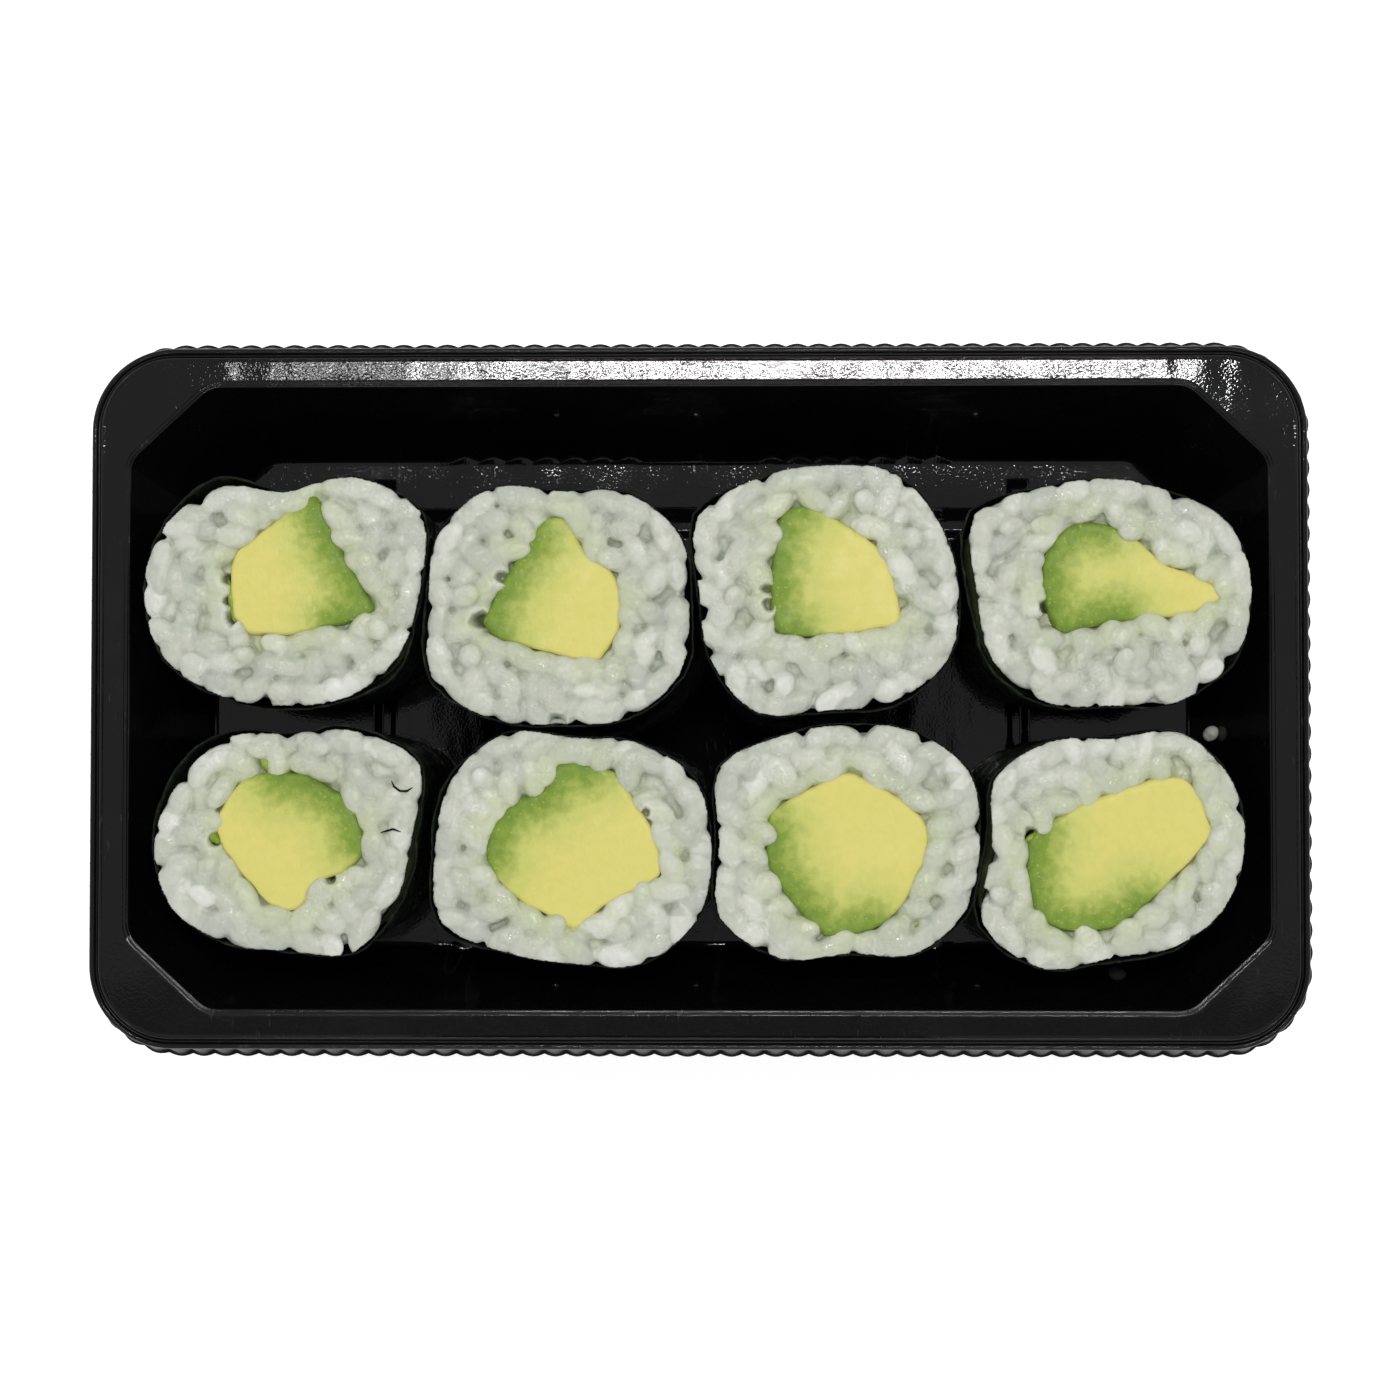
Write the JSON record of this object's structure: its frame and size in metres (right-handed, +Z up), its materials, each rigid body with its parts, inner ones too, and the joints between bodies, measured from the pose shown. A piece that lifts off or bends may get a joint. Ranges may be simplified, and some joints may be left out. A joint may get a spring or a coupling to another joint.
{
  "type": "takeaway sushi tray",
  "caption": "Takeaway sushi tray: seaweed-wrapped rice rolls with avocado hearts, packed upright in two rows in a black moulded plastic tray with a flanged rim.",
  "frame": {"origin": "middle of the footprint on the surface the tray stands on", "axes": "+X along the tray's long side, +Y across it towards the back row of rolls, +Z up out of the open tray"},
  "size_m": [0.142, 0.083, 0.0257],
  "materials": {
    "tray": "thin black moulded plastic, glossy with faint scuffs",
    "nori": "toasted seaweed sheet, near black with a dull green sheen",
    "rice": "cooked sushi rice, moist and slightly translucent",
    "avocado": "ripe avocado, yellow flesh turning green on one side, moist"
  },
  "bodies": {
    "root": {"tray": "tray", "nori_1": "nori", "rice_1": "rice", "avocado_1": "avocado", "nori_2": "nori", "rice_2": "rice", "avocado_2": "avocado", "nori_3": "nori", "rice_3": "rice", "avocado_3": "avocado", "nori_4": "nori", "rice_4": "rice", "avocado_4": "avocado", "nori_5": "nori", "rice_5": "rice", "avocado_5": "avocado", "nori_6": "nori", "rice_6": "rice", "avocado_6": "avocado", "nori_7": "nori", "rice_7": "rice", "avocado_7": "avocado", "nori_8": "nori", "rice_8": "rice", "avocado_8": "avocado"}
  },
  "joints": []
}
